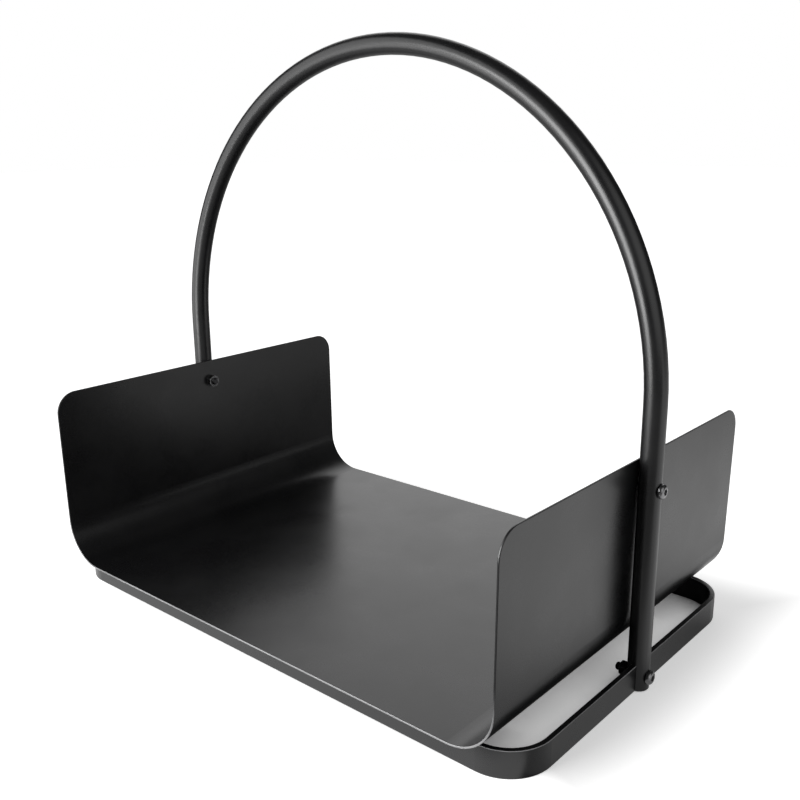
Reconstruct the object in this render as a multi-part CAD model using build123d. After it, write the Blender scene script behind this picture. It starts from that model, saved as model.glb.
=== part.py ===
"""Firewood log rack: a flat-bar base ring, a bent sheet tray and a tubular carrying hoop, bolted together.

The origin is on the floor under the middle of the rack. +X runs along the rack's length, +Y from front to rear
and +Z up. All sizes are in millimetres.
"""
from build123d import *

import os
from math import cos, radians, sqrt, tan

# Base ring: a flat bar on edge, bent into a rounded rectangle
ring_length = 480.0
ring_depth = 304.0
ring_corner_radius = 34.0
bar_height = 20.0
bar_thickness = 4.0
bar_edge_radius = 0.6

# Log tray: one sheet bent into a U, lying across the ring's front and rear bars
sheet_thickness = 1.5
tray_overhang = 12.0
wall_rise = 150.0
wall_lean_degrees = 0.7
tray_bend_radius = 36.0
wall_corner_radius = 18.0
sheet_edge_radius = 0.5

# Carrying hoop: a round tube, semicircular above two straight legs
tube_diameter = 16.0
tube_wall = 1.5
arch_centre_height = 208.0
leg_floor_gap = 0.5
slot_clearance = 0.15
leg_wall_gap = 0.1

# Fasteners: button-head screws and hex nuts
thread_diameter = 6.0
screw_hole_diameter = 6.5
screw_head_diameter = 10.5
screw_head_height = 3.3
screw_head_rim = 0.8
screw_end_protrusion = 2.1
screw_end_chamfer = 0.8
socket_width = 4.0
socket_depth = 2.2
nut_width = 10.0
nut_height = 5.0
nut_corner_chamfer = 0.6
nut_bore_chamfer = 0.4
thread_clearance = 0.05
upper_screw_drop = 20.0

# Places that follow from the sizes above
tube_radius = tube_diameter / 2
leg_x = ring_length / 2 - bar_thickness / 2
wall_lean = radians(wall_lean_degrees)
wall_top = bar_height + wall_rise
wall_top_x = leg_x - tube_radius - leg_wall_gap
tray_depth = ring_depth + 2 * tray_overhang
upper_screw_height = wall_top - upper_screw_drop
lower_screw_height = bar_height / 2
head_seat_x = leg_x + tube_radius
lower_nut_seat_x = leg_x - tube_radius
nut_corner_radius = nut_width / sqrt(3)


def wall_face_x(height, inset=0.0):
    """The place of the right wall's outer face at a height, or of a face a given inset deeper."""
    return wall_top_x - (wall_top - height) * tan(wall_lean) - inset / cos(wall_lean)


# The nut's lower corner meets the leaning wall first
upper_nut_seat_x = wall_face_x(upper_screw_height - nut_corner_radius, sheet_thickness)
screw_length = head_seat_x - upper_nut_seat_x + nut_height + screw_end_protrusion

# A solid that stands on its plane, and one that hangs below it
standing = (Align.CENTER, Align.CENTER, Align.MIN)
hanging = (Align.CENTER, Align.CENTER, Align.MAX)


def cross_hole(height):
    """A drill along X at mid-depth, long enough to pass both sides of the rack."""
    drill = Cylinder(screw_hole_diameter / 2, 2 * ring_length)
    return Pos(0, 0, height) * Rot(0, 90, 0) * drill


def make_base_ring():
    """The bent bar with rounded long edges and a screw hole in each side bar."""
    inner_length = ring_length - 2 * bar_thickness
    inner_depth = ring_depth - 2 * bar_thickness
    outline = RectangleRounded(ring_length, ring_depth, ring_corner_radius)
    outline -= RectangleRounded(inner_length, inner_depth, ring_corner_radius - bar_thickness)
    ring = extrude(outline, amount=bar_height)
    rims = ring.edges().group_by(Axis.Z)
    ring = fillet(rims[0] + rims[-1], bar_edge_radius)
    return ring - cross_hole(lower_screw_height)


def trough_area(inset):
    """The area between the walls and above the floor, shrunk by an inset, in the XZ plane."""
    floor = bar_height + inset
    low_x = wall_face_x(floor, inset)
    high_x = wall_face_x(wall_top, inset)
    corners = [(-high_x, wall_top), (-low_x, floor), (low_x, floor), (high_x, wall_top)]
    bend = FilletPolyline(*corners, radius=tray_bend_radius - inset)
    return Plane.XZ * make_face(bend + Line(corners[-1], corners[0]))


def make_log_tray():
    """The bent sheet: a U section along Y with rounded upper corners and eased edges."""
    section = trough_area(0) - trough_area(sheet_thickness)
    tray = extrude(section, amount=tray_depth / 2, both=True)
    top_corners = tray.edges().filter_by(Axis.X).group_by(Axis.Z)[-1]
    tray = fillet(top_corners, wall_corner_radius)
    long_edges = tray.edges().filter_by(lambda edge: edge.length > 2 * sheet_thickness)
    bend_lines = long_edges.filter_by(Axis.Y).filter_by(lambda edge: edge.center().Z < wall_top - sheet_thickness)
    tray = fillet(long_edges - bend_lines, sheet_edge_radius)
    return tray - cross_hole(upper_screw_height)


def make_handle_hoop():
    """The bent tube, slotted at both ends to straddle the ring's side bars."""
    shoulder = (leg_x, arch_centre_height)
    far_shoulder = (-leg_x, arch_centre_height)
    crown = (0, arch_centre_height + leg_x)
    near_leg = Line((leg_x, leg_floor_gap), shoulder)
    arch = ThreePointArc(shoulder, crown, far_shoulder)
    far_leg = Line(far_shoulder, (-leg_x, leg_floor_gap))
    path = Plane.XZ * (near_leg + arch + far_leg)
    section = Pos(leg_x, 0, leg_floor_gap) * (Circle(tube_radius) - Circle(tube_radius - tube_wall))
    hoop = sweep(section, path=path)
    slot_width = bar_thickness + 2 * slot_clearance
    slot = Box(slot_width, 2 * tube_diameter, bar_height, align=standing)
    for side in (-1, 1):
        hoop -= Pos(side * leg_x, 0, 0) * slot
    return hoop - cross_hole(upper_screw_height) - cross_hole(lower_screw_height)


def hexagon(width):
    """A regular hexagon given by its width across flats."""
    return RegularPolygon(width / 2, 6, major_radius=False)


def make_screw():
    """A button-head screw on the Z axis, its head above Z = 0 and its shank below."""
    head = Cylinder(screw_head_diameter / 2, screw_head_height, align=standing)
    head = fillet(head.edges().sort_by(Axis.Z)[-1], screw_head_height - screw_head_rim)
    socket = extrude(hexagon(socket_width), amount=-socket_depth)
    shank = Cylinder(thread_diameter / 2, screw_length, align=hanging)
    shank = chamfer(shank.edges().sort_by(Axis.Z)[0], screw_end_chamfer)
    return head - Pos(0, 0, screw_head_height) * socket + shank


def make_nut():
    """A hex nut on the Z axis, its seat at Z = 0 and its body above, with chamfered corners."""
    bore_radius = thread_diameter / 2 + thread_clearance
    turned = Cylinder(nut_corner_radius, nut_height, align=standing)
    turned = chamfer(turned.edges().filter_by(GeomType.CIRCLE), nut_corner_chamfer)
    bored = turned - Cylinder(bore_radius, nut_height, align=standing)
    bore_rims = bored.edges().filter_by(GeomType.CIRCLE).group_by(SortBy.RADIUS)[0]
    return extrude(hexagon(nut_width), amount=nut_height) & chamfer(bore_rims, nut_bore_chamfer)


parts = {
    "base_ring": make_base_ring(),
    "log_tray": make_log_tray(),
    "handle_hoop": make_handle_hoop(),
}

screw = make_screw()
nut = make_nut()
for side, name in ((-1, "left"), (1, "right")):
    outward = Rot(0, 90 * side, 0)
    inward = Rot(0, -90 * side, 0)
    parts[f"upper_screw_{name}"] = Pos(side * head_seat_x, 0, upper_screw_height) * outward * screw
    parts[f"lower_screw_{name}"] = Pos(side * head_seat_x, 0, lower_screw_height) * outward * screw
    parts[f"upper_nut_{name}"] = Pos(side * upper_nut_seat_x, 0, upper_screw_height) * inward * nut
    parts[f"lower_nut_{name}"] = Pos(side * lower_nut_seat_x, 0, lower_screw_height) * inward * nut

os.makedirs("parts", exist_ok=True)
for node, shape in parts.items():
    export_step(shape, f"parts/{node}.step")
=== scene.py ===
"""Looks, light and camera for the firewood log rack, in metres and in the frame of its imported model.

The rack stands on the floor at Z = 0. +X runs along its length, +Y from front to rear and +Z up.
"""
import math

import bpy
from mathutils import Matrix, Vector


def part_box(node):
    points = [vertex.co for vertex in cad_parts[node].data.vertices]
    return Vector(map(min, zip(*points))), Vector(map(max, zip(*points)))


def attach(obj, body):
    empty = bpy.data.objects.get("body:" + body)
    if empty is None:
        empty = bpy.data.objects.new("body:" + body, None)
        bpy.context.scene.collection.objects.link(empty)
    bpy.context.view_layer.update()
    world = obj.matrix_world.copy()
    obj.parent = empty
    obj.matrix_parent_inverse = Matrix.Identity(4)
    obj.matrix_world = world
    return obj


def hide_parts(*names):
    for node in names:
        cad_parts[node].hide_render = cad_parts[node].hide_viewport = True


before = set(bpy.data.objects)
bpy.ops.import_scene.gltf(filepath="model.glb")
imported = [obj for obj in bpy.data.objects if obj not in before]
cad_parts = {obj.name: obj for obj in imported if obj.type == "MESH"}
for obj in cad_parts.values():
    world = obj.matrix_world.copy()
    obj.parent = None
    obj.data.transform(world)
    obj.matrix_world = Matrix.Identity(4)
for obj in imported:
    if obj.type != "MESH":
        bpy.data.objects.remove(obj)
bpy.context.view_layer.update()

# Shader nodes: the places of a Mix node's colour sockets
mix_first = 6
mix_second = 7
mix_result = 2

# Noise: the span that most of its values lie in, and a shorter one for blotches that are mostly full
noise_span = (0.3, 0.7)
blotch_span = (0.3, 0.6)

# Coat: satin black powder on steel, with mottling, long waves, orange peel and a fine grain
coat_black = (0.0055, 0.0055, 0.0060)
coat_grey = (0.0085, 0.0085, 0.0090)
coat_roughness = (0.27, 0.33)
coat_ior = 1.55
mottle_size = 0.045
wave_size = 0.27
bar_wave_height = 0.00004
sheet_wave_height = 0.0012
peel_size = 0.0016
peel_height = 0.00003
peel_strength = 0.6
grain_size = 0.00035
grain_height = 0.000008
grain_strength = 0.5
grain_roughness = 0.03
ring_shift = (0.31, 0.12, 0.07)
tray_shift = (0.0, 0.0, 0.0)
hoop_shift = (0.83, 0.55, 0.21)

# Coat along edges: thinner and paler, and a painted highlight in pale grey on the tray's rim and the ring's
# arrises, from none to full
edge_grey = (0.03, 0.03, 0.031)
edge_reach = 0.0010
edge_least = 0.45
edge_grain_least = 0.5
# Painted highlight: a pale grey on the tray's low cut rim and the ring's upper arrises
painted_highlight_grey = (0.30, 0.30, 0.305)
painted_highlight_least = 0.7
rim_facing = (0.45, 0.85)
rim_height = (0.075, 0.030)
arris_side = (0.15, 0.35)
arris_top = (0.97, 0.88)

# Edges: how alike the plain and the rounded normal are on a full edge and on a face
edge_likeness = (0.90, 0.995)
edge_samples = 6

# Hardware: blackened zinc on steel, thicker and darker on the nuts
screw_black = (0.17, 0.17, 0.173)
screw_grey = (0.27, 0.27, 0.274)
screw_edge_reach = 0.0005
nut_black = (0.035, 0.035, 0.036)
nut_grey = (0.060, 0.060, 0.061)
nut_edge_reach = 0.0010
zinc_edge = (0.50, 0.50, 0.505)
zinc_edge_least = 0.35
zinc_roughness = (0.15, 0.25)
zinc_metallic = 0.9
film_size = 0.004
speck_size = 0.0004
speck_height = 0.00002
speck_strength = 0.5
# Painted shade on a screw's shank: where it fades in below the seat
seat_fade = (-0.0005, 0.0)

# Screws: button heads with a hex socket, and a metric thread at the free end
head_height = 0.0033
head_rim = 0.0008
head_edge_break = 0.0001
socket_width = 0.004
socket_depth = 0.0022
socket_bevel = 0.0004
socket_floor_rise = 0.0004
socket_taper = 0.98
shank_radius = 0.003
thread_pitch = 0.001
thread_depth = 0.00054
thread_length = 0.0095
thread_crest = 0.06
thread_flank = 0.40
end_chamfer = 0.0008
middle_share = 0.02
screw_segments = 48
dome_steps = 8
steps_per_turn = 10
sharp_angle = 35.0

# Camera: fitted to the photograph's view
photo_width_pixels = 800.0
focal_length_pixels = 962.8
sensor_width = 36.0
view_clip = (0.01, 100.0)
camera_place = (0.50911, -0.56883, 0.38379)
camera_yaw = -0.7142
camera_pitch = -0.2730
camera_roll = -0.0097

# Light: a soft box with a bright middle at the front left, and a dim room with two pale parts
white = (1.0, 1.0, 1.0, 1.0)
box_facing = (0.667, 0.745, 0.0)
box_spread = 145.0
bright_place = (-0.21, -0.95, 0.33)
bright_size = (0.62, 0.66)
bright_power = 7.0
wide_place = (-0.44, -0.74, 0.66)
wide_size = (1.45, 1.30)
wide_power = 6.8
room_level = 0.05
rear_level = 1.45
rear_towards = (-0.51, 0.73, 0.45)
rear_width = 35.0
right_level = 1.0
right_towards = (0.92, -0.22, 0.36)
right_width = 48.0

# Floor: its own colour to the camera and to light, and a darker one in the rack's gloss, painted shade in its
# reflection
floor_reach = 9.0
floor_drop = 0.0002
floor_white = 0.85
floor_mirrored = 0.30

# Floor as the camera sees it: a glow with ramps from near to far, measured from each side of the ring, dim
# near the rack as a painted shadow
glow_near = 0.46
glow_far = 0.95
glow_open = 1.05
glow_left = (0.0, -0.02)
glow_right = (0.0, 0.08)
glow_front = (0.035, 0.007)
glow_rear = (0.0, 0.12)
shadow_reach = 0.05
shadow_dark = 0.13
shadow_clear = 0.37
shadow_samples = 16

# Floor in the rack's gloss, right: two ramps measured from the ring's right side, the rest from the middle
right_start = (-0.002, 0.0)
far_rise = (0.0, 0.06)
far_shine = 0.95
far_rear_share = 0.85
far_rear_rise = (0.05, 0.25)
far_front_fade = (-0.22, 0.06)
far_end_share = 0.5
far_end_fade = (0.9, 0.3)
near_shine = 0.34
near_front_share = 0.2
near_front_fade = (-0.17, -0.09)
near_rear_share = 0.5
near_rear_fade = (0.12, -0.05)

# Floor in the rack's gloss, elsewhere: ramps measured from the ring's sides, and one from the middle
left_shine = 0.35
left_rise = (0.0, -0.10)
front_outer_fade = (-0.05, -0.01)
front_inner_fade = (0.014, 0.008)
front_right_fade = (0.03, 0.015)
behind_inner_fade = (0.02, 0.06)
behind_outer_fade = (0.15, 0.10)
behind_middle_fade = (0.06, 0.12)
behind_right_fade = (0.0, -0.03)


def add_node(tree, kind, inputs=None, **settings):
    """A new shader node, with settings as attributes and inputs as values or links."""
    node = tree.nodes.new(kind)
    for name, value in settings.items():
        setattr(node, name, value)
    for socket, value in (inputs or {}).items():
        if isinstance(value, bpy.types.NodeSocket):
            tree.links.new(value, node.inputs[socket])
        else:
            node.inputs[socket].default_value = value
    return node


def combine(tree, operation, *values):
    """One value from two or more, taken in turn by a math operation."""
    total = values[0]
    for value in values[1:]:
        total = add_node(tree, "ShaderNodeMath", {0: total, 1: value}, operation=operation).outputs["Value"]
    return total


def multiply(tree, *values):
    """The product of two or more values."""
    return combine(tree, "MULTIPLY", *values)


def brightest(tree, *values):
    """The largest of two or more values."""
    return combine(tree, "MAXIMUM", *values)


def magnitude(tree, value):
    """A value without its sign."""
    return add_node(tree, "ShaderNodeMath", {0: value}, operation="ABSOLUTE").outputs["Value"]


def likeness(tree, first, second):
    """1 where two directions are the same, and less the further they part."""
    node = add_node(tree, "ShaderNodeVectorMath", {0: first, 1: second}, operation="DOT_PRODUCT")
    return node.outputs["Value"]


def spread(tree, value, low, high, start=0.0, end=1.0):
    """A value from start to end, spread over low to high."""
    inputs = {"Value": value, "From Min": start, "From Max": end, "To Min": low, "To Max": high}
    return add_node(tree, "ShaderNodeMapRange", inputs).outputs["Result"]


def smooth_step(tree, value, start, end, low=0.0, high=1.0):
    """A value that goes smoothly from low at start to high at end."""
    inputs = {"Value": value, "From Min": start, "From Max": end, "To Min": low, "To Max": high}
    return add_node(tree, "ShaderNodeMapRange", inputs, interpolation_type="SMOOTHSTEP").outputs["Result"]


def mix_colour(tree, share, first, second):
    """The first colour where share is 0 and the second where it is 1."""
    node = add_node(tree, "ShaderNodeMix", data_type="RGBA")
    tree.links.new(share, node.inputs["Factor"])
    for socket, value in ((mix_first, first), (mix_second, second)):
        if isinstance(value, bpy.types.NodeSocket):
            tree.links.new(value, node.inputs[socket])
        else:
            node.inputs[socket].default_value = (*value, 1.0)
    return node.outputs[mix_result]


def noise(tree, place, size, detail):
    """Noise from 0 to 1 whose features are about the given size."""
    inputs = {"Vector": place, "Scale": 1 / size, "Detail": detail}
    return add_node(tree, "ShaderNodeTexNoise", inputs).outputs["Fac"]


def bump(tree, height, distance, strength, normal=None):
    """A bump of a real height, over another bump where one is given."""
    inputs = {"Height": height, "Distance": distance, "Strength": strength}
    if normal is not None:
        inputs["Normal"] = normal
    return add_node(tree, "ShaderNodeBump", inputs).outputs["Normal"]


def axes(tree, kind):
    """The X, Y and Z of a piece's own coordinates: Object for a place, Normal for the way a face looks."""
    coords = add_node(tree, "ShaderNodeTexCoord").outputs[kind]
    return add_node(tree, "ShaderNodeSeparateXYZ", {"Vector": coords}).outputs


def edge_share(tree, reach):
    """1 on outer edges and 0 on faces, found by comparing the normal with one rounded over a reach."""
    rounded = add_node(tree, "ShaderNodeBevel", {"Radius": reach}, samples=edge_samples).outputs["Normal"]
    plain = add_node(tree, "ShaderNodeNewGeometry").outputs["Normal"]
    return spread(tree, likeness(tree, rounded, plain), 1.0, 0.0, *edge_likeness)


def tray_rim_highlight(tree):
    """Where the painted highlight goes: 1 on the sheet's cut edges at front and rear, low down, and 0 above
    and on the faces.
    """
    cut_edge = smooth_step(tree, magnitude(tree, axes(tree, "Normal")["Y"]), *rim_facing)
    return multiply(tree, cut_edge, smooth_step(tree, axes(tree, "Object")["Z"], *rim_height))


def ring_arris_highlight(tree):
    """Where the painted highlight goes: 1 on the ring's rounded upper edges and 0 elsewhere."""
    facing = axes(tree, "Normal")["Z"]
    return multiply(tree, smooth_step(tree, facing, *arris_side), smooth_step(tree, facing, *arris_top))


def new_material(name):
    """A material with a Principled shader: the material, its tree and the shader."""
    material = bpy.data.materials.new(name)
    material.use_nodes = True
    tree = material.node_tree
    return material, tree, tree.nodes["Principled BSDF"]


def powder_coat(name, shift, wave_height, highlight_part=None):
    """Satin black powder coat: orange peel, fine grain, faint mottling, thinner and brighter along the edges.

    The shift keeps pieces from sharing one pattern. A highlight part is a function that finds where a pale
    grey painted highlight goes.
    """
    material, tree, shader = new_material(name)
    coords = add_node(tree, "ShaderNodeTexCoord").outputs["Object"]
    place = add_node(tree, "ShaderNodeMapping", {"Vector": coords, "Location": shift}).outputs["Vector"]
    mottle = noise(tree, place, mottle_size, detail=3.0)
    grain = noise(tree, place, grain_size, detail=1.0)
    peel = noise(tree, place, peel_size, detail=2.0)
    wave = noise(tree, place, wave_size, detail=0.0)
    colour = mix_colour(tree, spread(tree, mottle, 0.0, 1.0, *noise_span), coat_black, coat_grey)
    blotches = spread(tree, mottle, edge_least, 1.0, *blotch_span)
    specks = spread(tree, grain, edge_grain_least, 1.0)
    thin_share = multiply(tree, edge_share(tree, edge_reach), blotches, specks)
    colour = mix_colour(tree, thin_share, colour, edge_grey)
    # Painted highlight: pale grey where the highlight part finds it, broken up by the mottling
    if highlight_part:
        highlight_share = multiply(tree, highlight_part(tree), spread(tree, mottle, painted_highlight_least, 1.0, *blotch_span))
        colour = mix_colour(tree, highlight_share, colour, painted_highlight_grey)
    tree.links.new(colour, shader.inputs["Base Color"])
    rough = spread(tree, mottle, *coat_roughness, *noise_span)
    fine = spread(tree, grain, -grain_roughness, grain_roughness, *noise_span)
    tree.links.new(combine(tree, "ADD", rough, fine), shader.inputs["Roughness"])
    shader.inputs["IOR"].default_value = coat_ior
    normal = bump(tree, wave, wave_height, 1.0)
    normal = bump(tree, peel, peel_height, peel_strength, normal)
    normal = bump(tree, grain, grain_height, grain_strength, normal)
    tree.links.new(normal, shader.inputs["Normal"])
    return material


def black_zinc(name, dark, light, reach, painted_shade_end=False):
    """Blackened steel hardware: an uneven film from dark to light, fine specks and brighter worn edges.

    With a painted shade end, painted shade makes the piece as dark as a nut wherever its own Z is below its
    seat, as on a screw's shank.
    """
    material, tree, shader = new_material(name)
    coords = add_node(tree, "ShaderNodeTexCoord").outputs["Object"]
    film = noise(tree, coords, film_size, detail=4.0)
    speck = noise(tree, coords, speck_size, detail=2.0)
    worn = multiply(tree, edge_share(tree, reach), spread(tree, film, zinc_edge_least, 1.0, *noise_span))
    colour = mix_colour(tree, spread(tree, film, 0.0, 1.0, *noise_span), dark, light)
    # Painted shade: the shank below the seat as dark as a nut, without worn edges
    if painted_shade_end:
        head_share = smooth_step(tree, axes(tree, "Object")["Z"], *seat_fade)
        colour = mix_colour(tree, head_share, nut_black, colour)
        worn = multiply(tree, worn, head_share)
    tree.links.new(mix_colour(tree, worn, colour, zinc_edge), shader.inputs["Base Color"])
    tree.links.new(spread(tree, speck, *zinc_roughness, *noise_span), shader.inputs["Roughness"])
    shader.inputs["Metallic"].default_value = zinc_metallic
    tree.links.new(bump(tree, speck, speck_height, speck_strength), shader.inputs["Normal"])
    return material


def dress(node, material):
    """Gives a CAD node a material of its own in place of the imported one."""
    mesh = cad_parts[node].data
    mesh.materials.clear()
    mesh.materials.append(material)


def hex_radius(angle, width):
    """The distance from a hexagon's middle to its side, at an angle."""
    turn = (angle + math.pi / 6) % (math.pi / 3) - math.pi / 6
    return width / 2 / math.cos(turn)


def thread_radius(angle, drop):
    """The radius of the thread's surface at an angle, a given distance below its start.

    The crest and flank are shares of the pitch: half of the flat crest, and the slope beside it.
    """
    phase = (drop / thread_pitch - angle / (2 * math.pi)) % 1.0
    groove = (min(phase, 1 - phase) - thread_crest) / thread_flank
    fade_in = min(drop / thread_pitch, 1.0)
    return shank_radius - thread_depth * min(max(groove, 0.0), 1.0) * fade_in


def screw_rings(head_radius, length):
    """Rings of (height, radius at an angle) from the socket's floor over the head and down the shank."""
    rings = []
    socket_floor = head_height - socket_depth
    dome = head_height - head_rim
    thread_top = thread_length - length
    thread_steps = round(thread_length / thread_pitch * steps_per_turn)

    def hex_ring(height, width):
        rings.append((height, lambda angle: hex_radius(angle, width)))

    def round_ring(height, radius):
        rings.append((height, lambda angle: radius))

    def thread_ring(drop):
        cone = shank_radius - max(0.0, drop - thread_length + end_chamfer)
        rings.append((thread_top - drop, lambda angle: min(cone, thread_radius(angle, drop))))

    hex_ring(socket_floor, middle_share * socket_width)
    hex_ring(socket_floor + socket_floor_rise, socket_taper * socket_width)
    hex_ring(head_height - socket_bevel, socket_width)
    hex_ring(head_height, socket_width + socket_bevel)
    for step in range(dome_steps + 1):
        turn = math.radians(90 * step / dome_steps)
        round_ring(head_rim + dome * math.cos(turn), head_radius - dome + dome * math.sin(turn))
    round_ring(head_edge_break, head_radius)
    round_ring(0.0, head_radius - head_edge_break)
    round_ring(0.0, shank_radius)
    round_ring(thread_top, shank_radius)
    for step in range(1, thread_steps + 1):
        thread_ring(thread_length * step / thread_steps)
    round_ring(-length, middle_share * shank_radius)
    return rings


def skin_of_rings(name, rings, segments):
    """A closed mesh through rings of points about the Z axis, smooth but for its sharp edges."""
    points = []
    for height, radius in rings:
        for k in range(segments):
            angle = 2 * math.pi * k / segments
            reach = radius(angle)
            points.append((reach * math.cos(angle), reach * math.sin(angle), height))
    faces = [tuple(range(segments))]
    for ring in range(len(rings) - 1):
        near, far = ring * segments, (ring + 1) * segments
        for k in range(segments):
            after = (k + 1) % segments
            faces.append((near + k, far + k, far + after, near + after))
    last = (len(rings) - 1) * segments
    faces.append(tuple(last + k for k in reversed(range(segments))))
    mesh = bpy.data.meshes.new(name)
    mesh.from_pydata(points, [], faces)
    mesh.shade_smooth()
    mesh.set_sharp_from_angle(angle=math.radians(sharp_angle))
    return mesh


def make_screw(node, side, material):
    """A screw in the place of its CAD node, its head on the outer side of the leg."""
    low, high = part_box(node)
    head_radius = (high.y - low.y) / 2
    length = high.x - low.x - head_height
    mesh = skin_of_rings(f"{node}_detail", screw_rings(head_radius, length), screw_segments)
    mesh.materials.append(material)
    piece = bpy.data.objects.new(f"{node}_detail", mesh)
    bpy.context.scene.collection.objects.link(piece)
    seat = high.x - head_height if side > 0 else low.x + head_height
    turn = Matrix.Rotation(side * math.pi / 2, 4, "Y")
    piece.matrix_world = Matrix.Translation((seat, (low.y + high.y) / 2, (low.z + high.z) / 2)) @ turn
    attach(piece, "root")
    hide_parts(node)


def fade(tree, place, side, ends, low=0.0, high=1.0):
    """A value that goes smoothly from low to high between two ends, measured from a side of the ring."""
    start, end = ends
    return smooth_step(tree, place, side + start, side + end, low, high)


def floor_glow(tree, along, ring_low, ring_high):
    """The floor's glow to the camera, with a painted shadow: dim inside the ring, white around it, and darker
    close to the rack.
    """
    glow = brightest(
        tree,
        fade(tree, along["X"], ring_low.x, glow_left, glow_near, glow_far),
        fade(tree, along["X"], ring_high.x, glow_right, glow_near, glow_far),
        fade(tree, along["Y"], ring_low.y, glow_front, glow_near, glow_far),
        fade(tree, along["Y"], ring_high.y, glow_rear, glow_near, glow_far),
    )
    # Painted shadow: the glow darkened where the rack hems the floor in
    inputs = {"Distance": shadow_reach}
    openness = add_node(tree, "ShaderNodeAmbientOcclusion", inputs, samples=shadow_samples).outputs["AO"]
    return multiply(tree, glow, spread(tree, openness, 0.0, glow_open, shadow_dark, shadow_clear))


def floor_shine(tree, along, ring_low, ring_high):
    """The floor's glow in the rack's gloss.

    It is white out to the right, close in front of the ring and close behind the right wall, and grey along
    the ring's right side and out to the left. Elsewhere there is none.
    """
    far = brightest(
        tree,
        fade(tree, along["X"], ring_high.x, far_rise, 0.0, far_shine),
        smooth_step(tree, along["Y"], *far_rear_rise, 0.0, far_rear_share * far_shine),
    )
    far = multiply(
        tree,
        far,
        smooth_step(tree, along["Y"], *far_front_fade),
        smooth_step(tree, along["Y"], *far_end_fade, far_end_share, 1.0),
    )
    near = multiply(
        tree,
        smooth_step(tree, along["Y"], *near_front_fade, near_front_share * near_shine, near_shine),
        smooth_step(tree, along["Y"], *near_rear_fade, near_rear_share, 1.0),
    )
    right = multiply(tree, brightest(tree, far, near), fade(tree, along["X"], ring_high.x, right_start))
    front = multiply(
        tree,
        fade(tree, along["Y"], ring_low.y, front_outer_fade),
        fade(tree, along["Y"], ring_low.y, front_inner_fade),
        fade(tree, along["X"], ring_high.x, front_right_fade),
    )
    behind = multiply(
        tree,
        fade(tree, along["Y"], ring_high.y, behind_inner_fade),
        fade(tree, along["Y"], ring_high.y, behind_outer_fade),
        smooth_step(tree, along["X"], *behind_middle_fade),
        fade(tree, along["X"], ring_high.x, behind_right_fade),
    )
    left = fade(tree, along["X"], ring_low.x, left_rise, 0.0, left_shine)
    return brightest(tree, right, front, behind, left)


def make_floor():
    """A white floor that keeps the rack's shadow close by, deepened by a painted shadow in its glow, and
    glows into a white ground around it.
    """
    mesh = bpy.data.meshes.new("floor")
    corners = [(-floor_reach, -floor_reach, 0), (floor_reach, -floor_reach, 0)]
    corners += [(floor_reach, floor_reach, 0), (-floor_reach, floor_reach, 0)]
    mesh.from_pydata(corners, [], [(0, 1, 2, 3)])
    material, tree, shader = new_material("white_floor")
    along = axes(tree, "Object")
    ring_low, ring_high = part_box("base_ring")
    path = add_node(tree, "ShaderNodeLightPath").outputs
    mirrored = brightest(tree, path["Is Glossy Ray"], path["Is Transmission Ray"])
    glow = multiply(tree, floor_glow(tree, along, ring_low, ring_high), path["Is Camera Ray"])
    shine = multiply(tree, floor_shine(tree, along, ring_low, ring_high), mirrored)
    tree.links.new(brightest(tree, glow, shine), shader.inputs["Emission Strength"])
    shader.inputs["Emission Color"].default_value = white
    # Painted shade in the reflection: the floor is darker in the rack's gloss than it is
    colour = mix_colour(tree, mirrored, (floor_white,) * 3, (floor_mirrored,) * 3)
    tree.links.new(colour, shader.inputs["Base Color"])
    shader.inputs["Roughness"].default_value = 1.0
    shader.inputs["Specular IOR Level"].default_value = 0.0
    mesh.materials.append(material)
    floor = bpy.data.objects.new("floor", mesh)
    floor.location.z = -floor_drop
    bpy.context.scene.collection.objects.link(floor)


def patch(tree, direction, towards, width, level):
    """Light from one part of the room: full level straight towards it, none past an angle from there."""
    nearness = likeness(tree, direction, Vector(towards).normalized())
    return smooth_step(tree, nearness, math.cos(math.radians(width)), 1.0, 0.0, level)


def make_world():
    """A white room to the camera; to the rack, a dim one with a pale rear left and a pale right side."""
    world = bpy.data.worlds.new("studio")
    bpy.context.scene.world = world
    world.use_nodes = True
    tree = world.node_tree
    background = tree.nodes["Background"]
    direction = add_node(tree, "ShaderNodeTexCoord").outputs["Generated"]
    rear = patch(tree, direction, rear_towards, rear_width, rear_level)
    right = patch(tree, direction, right_towards, right_width, right_level)
    room = brightest(tree, rear, right, room_level)
    seen = add_node(tree, "ShaderNodeLightPath").outputs["Is Camera Ray"]
    strength = add_node(tree, "ShaderNodeMix", {"Factor": seen, "A": room, "B": 1.0}).outputs["Result"]
    background.inputs["Color"].default_value = white
    tree.links.new(strength, background.inputs["Strength"])


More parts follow.
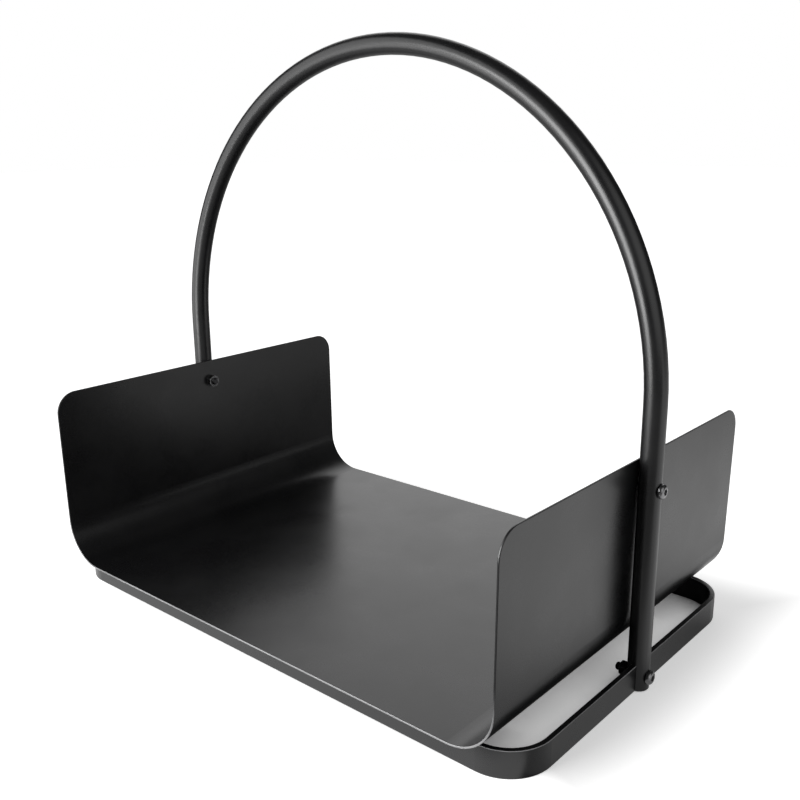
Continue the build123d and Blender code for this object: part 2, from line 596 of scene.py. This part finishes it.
def make_soft_box(name, place, size, power):
    """A soft box that stands upright, facing the rack from the front left."""
    lamp = bpy.data.lights.new(name, "AREA")
    lamp.shape = "RECTANGLE"
    lamp.size, lamp.size_y = size
    lamp.energy = power
    lamp.spread = math.radians(box_spread)
    box = bpy.data.objects.new(name, lamp)
    box.location = place
    box.rotation_mode = "QUATERNION"
    box.rotation_quaternion = Vector(box_facing).to_track_quat("-Z", "Y")
    box.visible_camera = False
    bpy.context.scene.collection.objects.link(box)


def make_camera():
    """The photograph's camera."""
    lens = bpy.data.cameras.new("camera")
    lens.sensor_width = sensor_width
    lens.lens = focal_length_pixels / photo_width_pixels * sensor_width
    lens.clip_start, lens.clip_end = view_clip
    level_ahead = Vector((math.sin(camera_yaw), math.cos(camera_yaw), 0.0))
    forward = level_ahead * math.cos(camera_pitch) + Vector((0.0, 0.0, math.sin(camera_pitch)))
    right = Vector((math.cos(camera_yaw), -math.sin(camera_yaw), 0.0))
    up = right.cross(forward)
    tilted_right = right * math.cos(camera_roll) + up * math.sin(camera_roll)
    tilted_up = up * math.cos(camera_roll) - right * math.sin(camera_roll)
    turn = Matrix((tilted_right, tilted_up, -forward)).transposed().to_4x4()
    camera = bpy.data.objects.new("camera", lens)
    camera.matrix_world = Matrix.Translation(camera_place) @ turn
    bpy.context.scene.collection.objects.link(camera)
    bpy.context.scene.camera = camera


# The ring's and the tray's coats carry a painted highlight on some edges; the hoop's does not
dress("base_ring", powder_coat("ring_powder_coat_and_highlight", ring_shift, bar_wave_height, ring_arris_highlight))
dress("log_tray", powder_coat("tray_powder_coat_and_highlight", tray_shift, sheet_wave_height, tray_rim_highlight))
dress("handle_hoop", powder_coat("hoop_powder_coat", hoop_shift, bar_wave_height))
screw_finish = black_zinc("screw_black_zinc", screw_black, screw_grey, screw_edge_reach, painted_shade_end=True)
nut_finish = black_zinc("nut_black_zinc", nut_black, nut_grey, nut_edge_reach)
for level in ("upper", "lower"):
    for side, name in ((-1, "left"), (1, "right")):
        make_screw(f"{level}_screw_{name}", side, screw_finish)
        dress(f"{level}_nut_{name}", nut_finish)

make_floor()
make_world()
make_soft_box("bright_middle", bright_place, bright_size, bright_power)
make_soft_box("wide_box", wide_place, wide_size, wide_power)
make_camera()
bpy.context.scene.view_settings.view_transform = "Standard"
